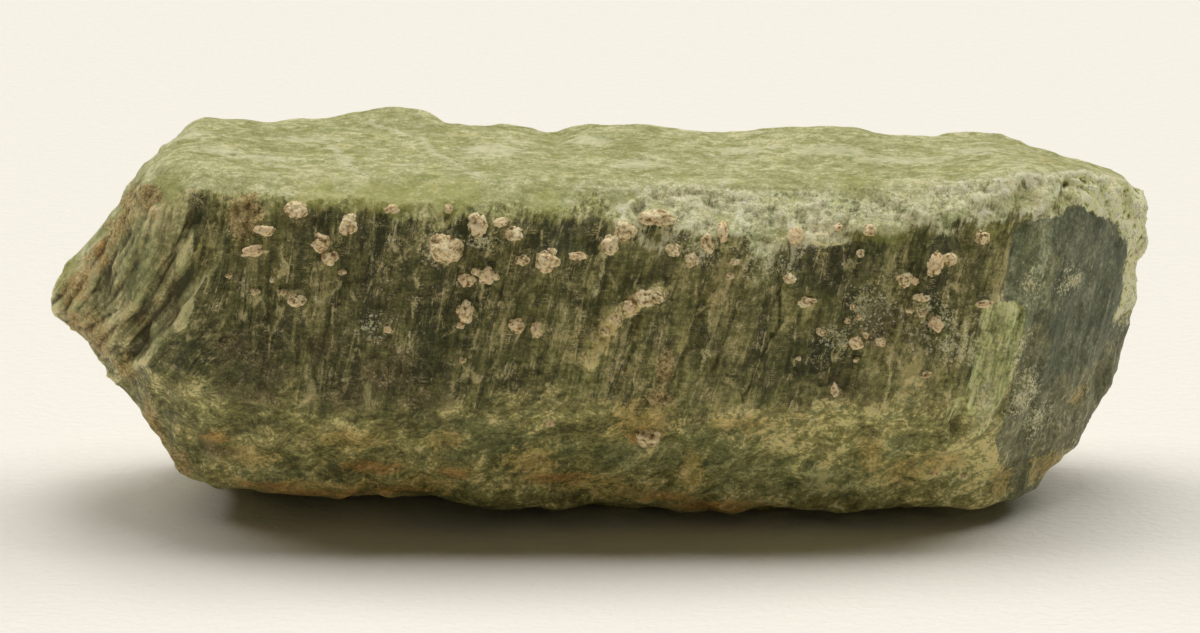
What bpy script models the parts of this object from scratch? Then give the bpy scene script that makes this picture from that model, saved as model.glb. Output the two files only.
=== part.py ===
"""Raw green apatite: a stubby six-sided crystal, broken from its rock and lying on one side.

The crystal is 100 mm long. +X runs along it to the blunt end, +Y away from the striated
front, +Z up. The origin is under its middle, on the surface that it rests on. It is one
solid: the crystal and the small calcite grains grown into its front.
"""

import math

import bmesh
import bpy
from mathutils import Matrix, Vector, bvhtree, geometry, noise

MM = 0.001

# The ends of the crystal along X, and how finely it is drawn along and round itself
LEFT_TIP = -50.0
RIGHT_TIP = 50.0
STATION_STEP = 1.0
SIDE_STEPS = 6

# Each edge of the crystal, from the left tip to the right, as (x, y, z) in millimetres
TOP_BACK = (
    (-50, 0, 21.5), (-46.5, -1, 26), (-43.5, -2, 29.5), (-41, -2, 32.5), (-39.5, 4, 33),
    (-37, 9, 33.8), (-34, 9.5, 33.6), (-28, 10, 33), (-25, 10.5, 33.1), (-15.5, 10.5, 33.1),
    (-8.5, 9.5, 33), (-5, 8.5, 32), (-1.5, 9.5, 33), (3, 10.5, 33), (11, 9.5, 32.5),
    (15.5, 10, 33), (23.5, 10, 32.5), (25.5, 8.5, 32), (32.5, 10, 31.6), (36.5, 10, 31.6),
    (42, 9, 29.8), (45.5, 9, 29.2), (48.5, 8, 28), (50, 6.5, 25.5),
)
TOP_FRONT = (
    (-50, -1, 21), (-44.5, -5, 27), (-40.5, -6, 33), (-38, -8, 34), (-32, -9, 33.5),
    (-18, -9, 32.5), (-0.5, -8.5, 32.5), (17, -8, 32), (31, -8, 32.5), (35.5, -7, 33),
    (43, -2, 31.7), (48, 3, 29), (50, 5, 25),
)
FRONT_TOP = (
    (-50, -2, 21), (-46, -6, 23.5), (-42, -9, 27.5), (-38.5, -11, 31), (-35.5, -12, 33),
    (-32, -12.5, 32.5), (-18, -12.5, 31.5), (-0.5, -12, 30.5), (8, -12, 29),
    (17, -12, 28), (28.5, -11.5, 30), (39, -8, 29.5), (45.5, -1, 28), (50, 5, 23.5),
)
FRONT_MIDDLE = (
    (-50, -2, 19.5), (-47, -6, 19), (-44, -9, 18), (-40.5, -12, 16.5), (-35.5, -14, 15),
    (-27, -15.5, 14.5), (-0.5, -15.5, 14), (17, -15.5, 14), (26, -15, 13),
    (35, -12, 10.5), (40, -7, 11.5), (47, 1.5, 15.5), (50, 6, 21.5),
)
FRONT_BOTTOM = (
    (-50, 0, 18), (-46.5, -3.5, 15.2), (-42, -6, 9.5), (-39.2, -7, 5), (-36, -8, 3.1),
    (-27.5, -9.5, 3.1), (-18.5, -9.5, 3.5), (-12.5, -9.5, 2.5), (-7, -9.5, 1.5),
    (-1.5, -9.5, 2.5), (11.5, -9.5, 1.5), (15, -9.5, 2), (20.5, -9.5, 1.5), (26.5, -9.5, 2),
    (34.5, -9, 2), (39, -5.5, 2.2), (44.5, 0, 5), (48, 4, 10.5), (50, 6.5, 20.5),
)
UNDER_FRONT = (
    (-50, 1, 17.5), (-45.5, 0, 14), (-42, 0, 10.5), (-40, 1, 6.5), (-37.5, 1.5, 2.5),
    (-32.5, 2, -0.3), (-16.5, 2, -0.3), (-8.5, -3, -0.3), (23.5, -3, -0.3), (31.5, -1, -0.3),
    (37.5, 0, 1.5), (43.5, 1.5, 6), (47.5, 4, 11.5), (50, 6.5, 21),
)
UNDER_BACK = (
    (-50, 4, 17.5), (-44.5, 7, 10), (-38.5, 8.5, 4), (-33.5, 9, -0.3), (33.5, 9.5, -0.3),
    (41.5, 9, 4.5), (45.5, 8.5, 10), (48.5, 8, 17), (50, 7.5, 22.5),
)
BACK_MIDDLE = (
    (-50, 4.5, 19.5), (-44.5, 10, 20), (-38.5, 13, 19), (-30.5, 15, 17), (-0.5, 15.5, 18),
    (37.5, 14.5, 17), (43.5, 12.5, 20), (47.5, 10.5, 23), (50, 8.5, 25),
)
# In order round the crystal, from the top's back edge over the front to the back
EDGES = (
    TOP_BACK, TOP_FRONT, FRONT_TOP, FRONT_MIDDLE,
    FRONT_BOTTOM, UNDER_FRONT, UNDER_BACK, BACK_MIDDLE,
)

# How far the sharp edges are worn round
BLOCK_FACE = 0.5
WEAR_PASSES = 8

# Gentle waves all over, and the broken ledges of the back and the underside
WAVE_HEIGHT = 0.45
WAVE_SIZE = 13.0
LEDGE_HEIGHT = 0.55
LEDGE_SIZE = 9.0
LEDGE_SHARPNESS = 7.0

# The fluted folds of the left end, each as (half width, depth, its line as (x, z) points)
FOLDS = (
    (0.9, 1.3, ((-36, 31), (-38.5, 25.5), (-39.5, 23.5), (-41.5, 20))),
    (1.1, 1.6, ((-34.5, 29.5), (-35.5, 26.5), (-37.5, 23.5), (-39, 21), (-41.5, 18.5), (-43, 16.5))),
    (0.7, 0.7, ((-42.5, 28), (-43.5, 26.5), (-45, 24.5), (-46, 21.5))),
    (1.0, -0.7, ((-35.3, 29), (-37, 26), (-38.5, 23.5), (-40.3, 20))),
    (1.4, -0.5, ((-33, 29), (-34, 26), (-36, 22.5), (-39, 18))),
)
FOLDS_END = -30.0

# The upright columns of the front, which lean to the right as they rise
LEAN_LEFT = math.radians(5)
LEAN_RIGHT = math.radians(15)
LEAN_FROM = -35.0
LEAN_TO = 0.0
COLUMN_HEIGHT = 0.9
COLUMN_WIDTH = 6.0
RIB_HEIGHT = 0.45
RIB_WIDTH = 2.2
COLUMNS_MIDDLE = 21.0
COLUMNS_REACH = 10.0

# Chips along the front's upper rim
CHIP_DEPTH = 0.9
CHIP_SIZE = 4.0
CHIP_REACH = 2.2

# The thin fin that stands proud at the right of the front: its sharp edge as (z, x) points
FIN_EDGE = ((9, 32), (10.5, 33.5), (14, 35.3), (18, 36.6), (21.5, 37.1), (22.2, 36.5))
FIN_HEIGHT = 0.9
FIN_WIDTH = 5.0
FIN_STEP = 0.5

# The flake left on the top's back edge
FLAKE_LEFT = -25.5
FLAKE_RIGHT = -15.3
FLAKE_FRONT = 6.5
FLAKE_HEIGHT = 0.7

# Holes in the front, as (x, z, radius, depth)
HOLES = ((3.3, 30.2, 0.7, 1.2), (31.1, 11.6, 0.9, 1.6), (-32, 32.5, 0.8, 0.8))

# The larger calcite grains of the front, as (x, z, width, height)
GRAINS = (
    (-27, 31, 2.1, 1.5), (-29.5, 29.4, 1.8, 1.1), (-30.5, 27.7, 2.4, 1.1), (-25, 28.2, 1.9, 1.8),
    (-24, 26.9, 1.6, 1.5), (-22.5, 29.7, 1.7, 1.8), (-27, 23.3, 1.7, 1.4), (-11, 29.8, 1.9, 2.2),
    (-9, 30, 1.5, 1.1), (-8, 28.9, 1.7, 1.5), (-14, 27.8, 2.9, 2.9), (-7.3, 26.7, 1.4, 1.3),
    (-5, 26.7, 2.3, 2.1), (-2.5, 27.1, 1.8, 0.9), (-12.2, 25.1, 1.5, 1.4), (-10.4, 25.4, 1.9, 1.5),
    (-12.3, 22.2, 1.4, 1.9), (-7.8, 21.1, 1.5, 1.3), (-6.1, 20.7, 1.2, 1.5), (0.5, 27.8, 1.6, 1.7),
    (1.6, 29.1, 1.9, 1.9), (4.4, 30, 3.3, 1.5), (5.8, 27.4, 1.6, 1.4), (7.6, 26.4, 1.4, 1.3),
    (8.9, 27.8, 1.5, 2.1), (10.2, 28.8, 1.2, 2.1), (16.6, 28.5, 1.5, 1.8), (16, 24.9, 1.4, 1.1),
    (17.6, 23, 1.8, 1.1), (23.1, 28.9, 1.3, 1.3), (28.9, 26, 1.6, 2.3), (30.2, 26.4, 1.6, 1.4),
    (26.2, 24.6, 1.6, 1.4), (27.7, 23.2, 1.6, 0.9), (33.1, 28, 1.4, 1.3), (33.2, 22.3, 1.9, 0.9),
    (21.9, 19.3, 1.4, 1.2), (24.1, 19.3, 1.2, 1.1), (20.1, 15.4, 0.9, 1.4), (29, 20.8, 1.4, 1.6),
    (3.7, 10.4, 1.9, 1.6), (2.2, 23.6, 2.2, 1.5), (3.8, 23.4, 2.2, 1.4), (0.9, 21.9, 1.7, 1.7),
)
GRAIN_PROUD = 0.6
GRAIN_LUMP = 0.25
GRAIN_LUMP_SIZE = 0.9

# The last surface: its even faces, its smoothing, and the triangles that it is reduced to
FINE_FACE = 0.42
FINE_PASSES = 1
TRIANGLES = 8800


def on_edge(edge, x):
    """The point of an edge at x, in millimetres."""
    for (x0, *start), (x1, *end) in zip(edge, edge[1:]):
        if x <= x1:
            break
    share = min(max((x - x0) / (x1 - x0), 0), 1)
    return Vector((x, *(a + (b - a) * share for a, b in zip(start, end))))


def section(x):
    """The outline of the crystal at x: a polygon with a corner on each edge."""
    corners = [on_edge(edge, x) for edge in EDGES]
    return [
        corner.lerp(following, step / SIDE_STEPS)
        for corner, following in zip(corners, corners[1:] + corners[:1])
        for step in range(SIDE_STEPS)
    ]


def rough_block():
    """The crystal with flat sides and sharp edges, lofted from the left tip to the right."""
    stations = round((RIGHT_TIP - LEFT_TIP) / STATION_STEP)
    bm = bmesh.new()
    rings = [
        [bm.verts.new(point * MM) for point in section(LEFT_TIP + STATION_STEP * i)]
        for i in range(stations + 1)
    ]
    for ring, following in zip(rings, rings[1:]):
        for i in range(len(ring)):
            bm.faces.new((ring[i - 1], ring[i], following[i], following[i - 1]))
    bm.faces.new(rings[0])
    bm.faces.new(rings[-1])
    bmesh.ops.recalc_face_normals(bm, faces=bm.faces)
    return as_mesh(bm)


def as_mesh(bm):
    """A new mesh with what the bmesh holds."""
    mesh = bpy.data.meshes.new("apatite_crystal")
    bm.to_mesh(mesh)
    bm.free()
    return mesh


def with_modifiers(mesh, *steps):
    """The mesh after modifiers, each given as its type and its settings."""
    obj = bpy.data.objects.new("work", mesh)
    bpy.context.scene.collection.objects.link(obj)
    for kind, settings in steps:
        modifier = obj.modifiers.new(kind.lower(), kind)
        for name, value in settings.items():
            setattr(modifier, name, value)
    graph = bpy.context.evaluated_depsgraph_get()
    result = bpy.data.meshes.new_from_object(obj.evaluated_get(graph), depsgraph=graph)
    bpy.data.objects.remove(obj)
    return result


def even_faces(mesh, size, passes):
    """The mesh drawn again as one skin with even faces, then smoothed."""
    remesh = ("REMESH", {"mode": "VOXEL", "voxel_size": size * MM})
    smooth = ("SMOOTH", {"factor": 0.5, "iterations": passes})
    return with_modifiers(mesh, remesh, smooth)


def bump(distance, reach):
    """A round bump: 1 in its middle, fading to nothing at about twice its reach."""
    return math.exp(-(distance / reach) ** 2)


def distance_to_line(spot, line):
    """How far a 2-D spot is from a line of 2-D points."""
    nearest = []
    for start, end in zip(line, line[1:]):
        start, end = Vector(start), Vector(end)
        share = geometry.intersect_point_line(spot, start, end)[1]
        nearest.append((start.lerp(end, min(max(share, 0), 1)) - spot).length)
    return min(nearest)


def folds(x, z):
    """The fluted folds of the left end: grooves below the surface, and ridges above it."""
    spot = Vector((x, z))
    return -sum(depth * bump(distance_to_line(spot, line), width) for width, depth, line in FOLDS)


def columns(x, z):
    """The leaning columns of the front and their finer ribs."""
    share = min(max((x - LEAN_FROM) / (LEAN_TO - LEAN_FROM), 0), 1)
    lean = LEAN_LEFT + (LEAN_RIGHT - LEAN_LEFT) * share
    across = x - (z - COLUMNS_MIDDLE) * math.tan(lean)
    column = COLUMN_HEIGHT * noise.noise(Vector((across / COLUMN_WIDTH, z / 40, 0)))
    rib = RIB_HEIGHT * noise.noise(Vector((across / RIB_WIDTH, z / 25, 5)))
    return (column + rib) * bump(z - COLUMNS_MIDDLE, COLUMNS_REACH)


def fin(x, z):
    """The thin fin: full height at its sharp right edge, sinking to the left."""
    if not FIN_EDGE[0][0] < z < FIN_EDGE[-1][0]:
        return 0
    for (z0, x0), (z1, x1) in zip(FIN_EDGE, FIN_EDGE[1:]):
        if z <= z1:
            break
    inside = x0 + (x1 - x0) * (z - z0) / (z1 - z0) - x
    if inside < 0:
        return 0
    return FIN_HEIGHT * min(inside / FIN_STEP, 1) * max(1 - inside / FIN_WIDTH, 0)


def chips(point):
    """Small chips broken out of the front's upper rim."""
    near = bump((point - on_edge(FRONT_TOP, point.x)).length, CHIP_REACH)
    return -CHIP_DEPTH * near * max(noise.noise(Vector((point.x / CHIP_SIZE, 0, 9))), 0)


def holes(x, z):
    """The small dark holes of the front."""
    return -sum(
        depth * bump(math.hypot(x - hole_x, z - hole_z), radius)
        for hole_x, hole_z, radius, depth in HOLES
    )


def flake(x, y):
    """The flake on the top's back edge, with a sharp right end."""
    if not FLAKE_LEFT < x < FLAKE_RIGHT or y < FLAKE_FRONT:
        return 0
    return FLAKE_HEIGHT * min((x - FLAKE_LEFT) / 4, 1) * min((y - FLAKE_FRONT) / 2.5, 1)


def relief(point, normal):
    """How far the surface at a point stands above the worn block, in millimetres."""
    x, y, z = point
    height = WAVE_HEIGHT * noise.noise(point / WAVE_SIZE)
    if normal.y < -0.2:
        height += columns(x, z) + fin(x, z) + chips(point) + holes(x, z)
        if x < FOLDS_END:
            height += folds(x, z)
    elif normal.y > 0.3 or normal.z < -0.6:
        ledge = noise.noise(point / LEDGE_SIZE + Vector((3, 7, 1)))
        height += LEDGE_HEIGHT * math.tanh(LEDGE_SHARPNESS * ledge)
    if normal.z > 0.5:
        height += flake(x, y)
    return height


def carve(mesh):
    """Move each point of the mesh out or in by the relief there."""
    moved = [
        vertex.co + vertex.normal * relief(vertex.co / MM, vertex.normal) * MM
        for vertex in mesh.vertices
    ]
    for vertex, place in zip(mesh.vertices, moved):
        vertex.co = place


def grow_grains(mesh):
    """Add a lumpy closed grain on the front for each of the larger calcite grains."""
    bm = bmesh.new()
    bm.from_mesh(mesh)
    surface = bvhtree.BVHTree.FromBMesh(bm)
    for number, (x, z, width, height) in enumerate(GRAINS):
        place = surface.ray_cast(Vector((x, RIGHT_TIP * -1, z)) * MM, Vector((0, 1, 0)))[0]
        size = Vector((width / 2, GRAIN_PROUD, height / 2)) * MM
        grain = bmesh.ops.create_icosphere(
            bm, subdivisions=3, radius=1,
            matrix=Matrix.Translation(place) @ Matrix.Diagonal(size).to_4x4(),
        )
        for vert in grain["verts"]:
            lump = noise.noise(vert.co / (GRAIN_LUMP_SIZE * MM) + Vector((0, 0, number)))
            vert.co += (vert.co - place).normalized() * GRAIN_LUMP * MM * lump
    return as_mesh(bm)


def settle(mesh):
    """Centre the mesh over the origin and press what is below the ground flat on it."""
    corners = [[pick(v.co[axis] for v in mesh.vertices) for pick in (min, max)] for axis in (0, 1)]
    middle = Vector([sum(ends) / 2 for ends in corners] + [0])
    for vertex in mesh.vertices:
        vertex.co -= middle
        vertex.co.z = max(vertex.co.z, 0)


def apatite_material():
    """Waxy olive green."""
    material = bpy.data.materials.new("green_apatite")
    material.use_nodes = True
    shader = material.node_tree.nodes["Principled BSDF"]
    shader.inputs["Base Color"].default_value = (0.15, 0.18, 0.06, 1)
    shader.inputs["Roughness"].default_value = 0.5
    shader.inputs["Metallic"].default_value = 0
    return material


def apatite_crystal():
    """The whole crystal: the worn block, its relief, its grains and its flat resting patches."""
    mesh = even_faces(rough_block(), BLOCK_FACE, WEAR_PASSES)
    carve(mesh)
    mesh = even_faces(grow_grains(mesh), FINE_FACE, FINE_PASSES)
    faces = 2 * len(mesh.polygons)
    mesh = with_modifiers(mesh, ("DECIMATE", {"ratio": TRIANGLES / faces}))
    settle(mesh)
    mesh.materials.append(apatite_material())
    return bpy.data.objects.new("apatite_crystal", mesh)


def main():
    for obj in list(bpy.data.objects):
        bpy.data.objects.remove(obj)
    collection = bpy.data.collections.new("raw_apatite")
    bpy.context.scene.collection.children.link(collection)
    collection.objects.link(apatite_crystal())


main()
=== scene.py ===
"""The looks of the raw green apatite: its worn and striated skin, its stains and its grains.

Places are in millimetres in the crystal's own frame: +X along it to the blunt end, +Y away
from the striated front, +Z up from what it rests on.
"""

import math
import random

import bmesh
import bpy
import numpy as np
from mathutils import Matrix, Vector, bvhtree, noise


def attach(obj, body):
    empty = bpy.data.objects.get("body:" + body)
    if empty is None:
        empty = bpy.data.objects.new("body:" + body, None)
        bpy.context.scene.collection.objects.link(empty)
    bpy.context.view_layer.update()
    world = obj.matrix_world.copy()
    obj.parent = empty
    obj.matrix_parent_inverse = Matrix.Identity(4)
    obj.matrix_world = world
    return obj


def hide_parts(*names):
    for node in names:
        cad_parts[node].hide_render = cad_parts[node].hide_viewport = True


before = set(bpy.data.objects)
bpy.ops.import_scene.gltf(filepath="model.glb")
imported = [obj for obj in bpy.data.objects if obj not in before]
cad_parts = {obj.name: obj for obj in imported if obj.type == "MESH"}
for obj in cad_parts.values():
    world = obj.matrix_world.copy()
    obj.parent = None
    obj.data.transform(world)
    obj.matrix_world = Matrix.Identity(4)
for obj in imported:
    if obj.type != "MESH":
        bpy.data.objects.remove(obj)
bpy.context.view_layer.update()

MM = 0.001

# The photograph's view of the crystal
CAMERA_LENS = 105.0
CAMERA_SENSOR = 36.0
CAMERA_WIDTH_SEEN = 110.0
CAMERA_ELEVATION = math.radians(18)
CAMERA_AIM = (-0.5, 0.0, 17.2)

# A long strip of soft light as three broad lights, and the pale room around the crystal:
# how broad each looks, how far the strip hangs behind upright, how far the outer two lean
LIGHT_SPREAD = math.radians(34)
LIGHT_TILT = math.radians(14)
LIGHT_LEANS = (math.radians(-36), 0.0, math.radians(36))
LIGHT_STRENGTHS = (1.1, 1.45, 1.1)
LIGHT_COLOUR = (1.0, 0.985, 0.96)
ROOM_STRENGTH = 0.075
ROOM_COLOUR = (250, 240, 214)

# The pale sheet that the crystal lies on: its side in metres, and how far it lies below, in mm
SHEET_SIDE = 6.0
SHEET_DROP = 0.1
SHEET_COLOUR = (242, 239, 231)

# The skin's faces, and the smoothing that takes out the solid's facets
SKIN_FACE = 0.27
SKIN_PASSES = 10
SKIN_TRIANGLES = 194000

# The depths at which crevices and broad hollows count in full, for the painted shade that darkens them
CREVICE_DEPTH = 0.08
HOLLOW_DEPTH = 0.35
# How often the normals are evened out before they tell the top from the sides
CALM_PASSES = 10

# The grain of the crystal leans to the right as it rises, more in the middle than at the left
GRAIN_MIDDLE = 21.0
LEAN_LEFT = math.tan(math.radians(5))
LEAN_RIGHT = math.tan(math.radians(15))
LEAN_FROM = -35.0
LEAN_TO = 0.0

# The line down which the left end's folds flow, as heights and places along X
FOLD_HEIGHTS = (12.0, 16.5, 18.5, 21.0, 23.5, 26.5, 29.5, 34.0)
FOLD_PLACES = (-47.0, -43.0, -41.5, -39.0, -37.5, -35.5, -34.5, -33.5)

# Where the front ends and the blunt end's facet begins, as heights and places along X
FACET_HEIGHTS = (0.0, 2.0, 9.5, 13.1, 19.2, 21.0, 22.4, 28.0, 30.0)
FACET_PLACES = (38.5, 36.5, 34.8, 35.8, 36.9, 37.0, 35.2, 35.8, 38.0)

# Where the facet ends and the crumbling rind of the blunt end begins
RIND_HEIGHTS = (0.0, 8.0, 14.0, 19.8, 21.7, 23.9, 26.4, 28.0, 30.0)
RIND_PLACES = (38.0, 43.0, 46.0, 47.9, 48.2, 47.8, 46.2, 44.3, 41.0)

# How low the rim reaches, as places along X and heights
RIM_PLACES = (-50.0, -36.0, -8.0, 0.0, 8.0, 16.0, 26.0, 34.0, 42.0)
RIM_FLOORS = (31.5, 31.0, 30.4, 29.6, 27.8, 27.0, 28.8, 28.6, 28.0)

# The sharp right edge of the bright fin
FIN_HEIGHTS = (9.0, 10.5, 14.0, 18.0, 21.5, 22.2)
FIN_PLACES = (32.0, 33.5, 35.3, 36.6, 37.1, 36.5)
FIN_WIDTH = 4.2

# The break between the front and the lower band
BAND_TOP = 14.0

# Places along X from where the rim's green turns to frost
FROSTED_FROM = -8.0
FROSTED_TO = 8.0
# How strong the patches are on the sides that the photograph doesn't show
HIDDEN_SHARE = 0.45
# How far the mottles of the lower band lean to the right
MOTTLE_LEAN = math.radians(-50)
# The facet's left part, over which a pale crust lies, ends here
CRUST_END = 39.7
# The raised flake on the far edge of the top, as places along X and how far it rises
FLAKE_PLACES = (-26.0, -21.5, -16.4, -15.4)
FLAKE_RISES = (0.0, 0.7, 1.1, 0.0)

# How strongly the photograph's light falls on each side, next to the sheet that it lies on
LIT = {
    "front": 0.42, "pale line": 0.42, "top": 0.88, "rim": 0.72, "frosted rim": 0.54, "band": 0.36,
    "slate": 0.36, "facet": 0.8, "low facet": 0.66, "crust": 0.6, "fold": 0.44, "fin": 0.44,
    "rind": 0.46, "gold": 0.36, "orange": 0.36, "frost": 0.45, "rust": 0.44, "umber": 0.42,
    "grain": 0.5, "vein": 0.32,
}
# The shades of each side in that light, as screen colours from its darkest to its lightest
SHADES = {
    "front": ((42, 42, 19), (62, 61, 32), (84, 81, 47), (108, 103, 65), (140, 131, 92)),
    "top": ((144, 144, 88), (163, 162, 111), (176, 175, 126), (190, 188, 143), (216, 212, 174)),
    "rim": ((94, 92, 42), (125, 121, 68), (149, 146, 90), (172, 169, 116), (204, 198, 154)),
    "frosted rim": ((116, 115, 82), (153, 151, 117), (172, 169, 137), (193, 189, 160), (226, 222, 205)),
    "band": ((55, 51, 25), (80, 75, 42), (99, 94, 58), (119, 112, 73), (158, 149, 109)),
    "slate": ((50, 52, 30), (70, 72, 44), (86, 86, 54), (102, 102, 68), (128, 126, 90)),
    "facet": ((60, 64, 43), (79, 84, 60), (93, 98, 74), (112, 117, 92), (146, 149, 122)),
    "low facet": ((78, 75, 50), (99, 97, 69), (116, 114, 85), (137, 135, 105), (178, 175, 144)),
    "crust": ((74, 77, 54), (93, 95, 70), (110, 114, 87), (131, 134, 109), (164, 167, 141)),
    "pale line": ((100, 94, 60), (126, 119, 82), (150, 141, 104), (174, 164, 128), (202, 192, 160)),
    "fold": ((60, 54, 29), (91, 85, 55), (114, 108, 75), (137, 129, 95), (172, 164, 128)),
    "fin": ((82, 82, 46), (111, 112, 72), (135, 137, 92), (156, 157, 113), (184, 182, 142)),
    "rind": ((110, 108, 70), (164, 162, 118), (194, 192, 148), (216, 212, 178), (238, 234, 210)),
    "rust": ((58, 42, 20), (98, 80, 46), (131, 113, 76), (161, 143, 104), (194, 180, 146)),
    "gold": ((80, 68, 34), (104, 90, 50), (126, 109, 65), (150, 133, 87), (180, 165, 122)),
    "orange": ((74, 52, 24), (98, 74, 36), (120, 92, 50), (144, 116, 72), (172, 148, 108)),
    "frost": ((96, 94, 66), (124, 121, 92), (148, 144, 114), (172, 168, 138), (206, 202, 178)),
    "vein": ((88, 76, 40), (124, 110, 70), (152, 137, 94), (178, 162, 118), (206, 192, 152)),
    "umber": ((38, 32, 14), (52, 45, 22), (68, 59, 34), (96, 86, 58), (144, 132, 102)),
    "grain": ((84, 66, 36), (128, 109, 74), (163, 145, 108), (190, 174, 138), (220, 208, 176)),
}
# What the stone's colour is multiplied by where its hue wanders: greener, as it is, browner
HUES = ((0.84, 0.98, 0.78, 1), (0.93, 0.95, 0.92, 1), (1.0, 0.9, 0.84, 1))
# The same where it is richer, as it is, dustier
DUSTS = ((1.0, 1.0, 0.68, 1), (0.97, 0.97, 0.9, 1), (0.93, 0.94, 1.0, 1))

# The screen colour of the small glints, which are painted highlights
GLINT_COLOUR = (196, 192, 172)

# The shader's noise is spread out by this much, to run mostly from -1 to 1
NOISE_GAIN = 3.6


class Value:
    """A number that varies over a surface, so that shader maths reads as arithmetic."""

    def __init__(self, finish, socket):
        self.finish = finish
        self.socket = socket

    def math(self, operation, *others):
        settings = {"operation": operation}
        return self.finish.value("ShaderNodeMath", settings, dict(enumerate(others)))

    def __add__(self, other):
        return self.math("ADD", self, other)

    def __sub__(self, other):
        return self.math("SUBTRACT", self, other)

    def __rsub__(self, other):
        return self.math("SUBTRACT", other, self)

    def __mul__(self, other):
        return self.math("MULTIPLY", self, other)

    __radd__ = __add__
    __rmul__ = __mul__

    def above(self, low, high):
        """0 where this is under low, 1 where it is over high, and smooth between."""
        sockets = {"Value": self, "From Min": low, "From Max": high}
        return self.finish.value("ShaderNodeMapRange", {"interpolation_type": "SMOOTHSTEP"}, sockets)

    def below(self, high, low):
        """1 where this is under low, 0 where it is over high, and smooth between."""
        return 1 - self.above(low, high)

    def size(self):
        return self.math("ABSOLUTE", self)

    def most(self, other):
        return self.math("MAXIMUM", self, other)


class Finish:
    """One material and the nodes that make it."""

    def __init__(self, name, **constants):
        self.material = bpy.data.materials.new(name)
        self.material.use_nodes = True
        self.tree = self.material.node_tree
        self.shader = self.tree.nodes["Principled BSDF"]
        self.feed(**constants)

    def node(self, kind, settings=None, sockets=None):
        """A new node: its settings first, then the value or link of each socket."""
        node = self.tree.nodes.new(kind)
        for name, value in (settings or {}).items():
            if name == "stops":
                self.set_stops(node.color_ramp, value)
            else:
                setattr(node, name, value)
        for name, value in (sockets or {}).items():
            self.plug(node.inputs[name], value)
        return node

    def plug(self, socket, value):
        if isinstance(value, Value):
            self.tree.links.new(value.socket, socket)
        else:
            socket.default_value = value

    def feed(self, **sockets):
        """Plug a value or link into each named socket of the shader."""
        for name, value in sockets.items():
            self.plug(self.shader.inputs[name.replace("_", " ")], value)

    def raise_bumps(self, height, strength=1.0, reach=1.0):
        """Let the light show bumps of the height given, in millimetres next to the reach."""
        sockets = {"Strength": strength, "Distance": reach * MM, "Height": height}
        self.feed(Normal=self.value("ShaderNodeBump", None, sockets, "Normal"))

    def set_stops(self, ramp, stops):
        while len(ramp.elements) < len(stops):
            ramp.elements.new(1)
        for element, (position, colour) in zip(ramp.elements, stops):
            element.position = position
            element.color = colour

    def value(self, kind, settings=None, sockets=None, output=0):
        """One output of a new node."""
        return Value(self, self.node(kind, settings, sockets).outputs[output])

    def zone(self, name):
        """What the mesh's own attribute says at each point."""
        return self.value("ShaderNodeAttribute", {"attribute_name": name}, output="Fac")

    def place(self, *stretch):
        """Places in millimetres, drawn out along each axis by the stretch given for it."""
        here = self.value("ShaderNodeTexCoord", output="Object")
        scale = [1 / (MM * amount) for amount in stretch or (1, 1, 1)]
        return self.value("ShaderNodeVectorMath", {"operation": "MULTIPLY"}, {0: here, 1: scale})

    def noise(self, vector, size, detail=3.0, roughness=0.55, distortion=0.0):
        """Noise about 0, mostly from -1 to 1, with lumps of about the size given."""
        sockets = {
            "Vector": vector, "Scale": 1 / size, "Detail": detail,
            "Roughness": roughness, "Distortion": distortion,
        }
        return (self.value("ShaderNodeTexNoise", None, sockets) - 0.5) * NOISE_GAIN

    def specks(self, vector, size):
        """A random number for each small cell of the surface."""
        cells = self.value("ShaderNodeTexVoronoi", None, {"Vector": vector, "Scale": 1 / size}, "Color")
        return self.value("ShaderNodeSeparateColor", None, {"Color": cells}, "Red")

    def edges(self, vector, size):
        """How far each place is from the nearest border between cells, next to their size."""
        settings, sockets = {"feature": "DISTANCE_TO_EDGE"}, {"Vector": vector, "Scale": 1 / size}
        return self.value("ShaderNodeTexVoronoi", settings, sockets, "Distance")

    def shades(self, tone, side):
        """A side's own shades, from dark where the tone is 0 to light where it is 1."""
        return self.ramp(tone, *[paint(*screen, LIT[side]) for screen in SHADES[side]])

    def ramp(self, value, *colours):
        """The colours spread evenly over the values from 0 to 1."""
        stops = [(i / (len(colours) - 1), colour) for i, colour in enumerate(colours)]
        return self.value("ShaderNodeValToRGB", {"stops": stops}, {"Fac": value}, "Color")

    def mix(self, share, under, over, blend="MIX"):
        """The over colour laid on the under colour by the share given."""
        settings = {"data_type": "RGBA", "blend_type": blend}
        return self.value("ShaderNodeMix", settings, {0: share, 6: under, 7: over}, 2)


def paint(red, green, blue, lit=1.0):
    """The stone's own colour where light of this strength shows it as these screen values."""
    screen = [part / 255 for part in (red, green, blue)]
    linear = [part / 12.92 if part <= 0.04045 else ((part + 0.055) / 1.055) ** 2.4 for part in screen]
    return (*[part / max(lit, *linear) for part in linear], 1)


def ease(low, high, values):
    """0 under low, 1 over high, and smooth between."""
    share = np.clip((values - low) / (high - low), 0, 1)
    return share * share * (3 - 2 * share)


def wander(place, size, seed=0, stretch=(1, 1, 1)):
    """Smooth noise at each place, with lumps of about the size given, drawn out by the stretch."""
    scaled = place / (np.array(stretch) * size) + 17.3 * seed
    return np.array([noise.noise(spot) for spot in scaled.tolist()])


def chance(first, second=0):
    """A fixed random number from 0 to 1 for each pair of whole numbers."""
    return np.mod(np.sin(first * 12.9898 + second * 78.233) * 43758.5453, 1)


def patches(across, up, spots):
    """How strongly the nearest of the oval spots covers each place."""
    cover = np.zeros_like(across)
    for spot_across, spot_up, half_width, half_height in spots:
        away = ((across - spot_across) / half_width) ** 2 + ((up - spot_up) / half_height) ** 2
        cover = np.maximum(cover, np.exp(-0.7 * away))
    return cover


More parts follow.
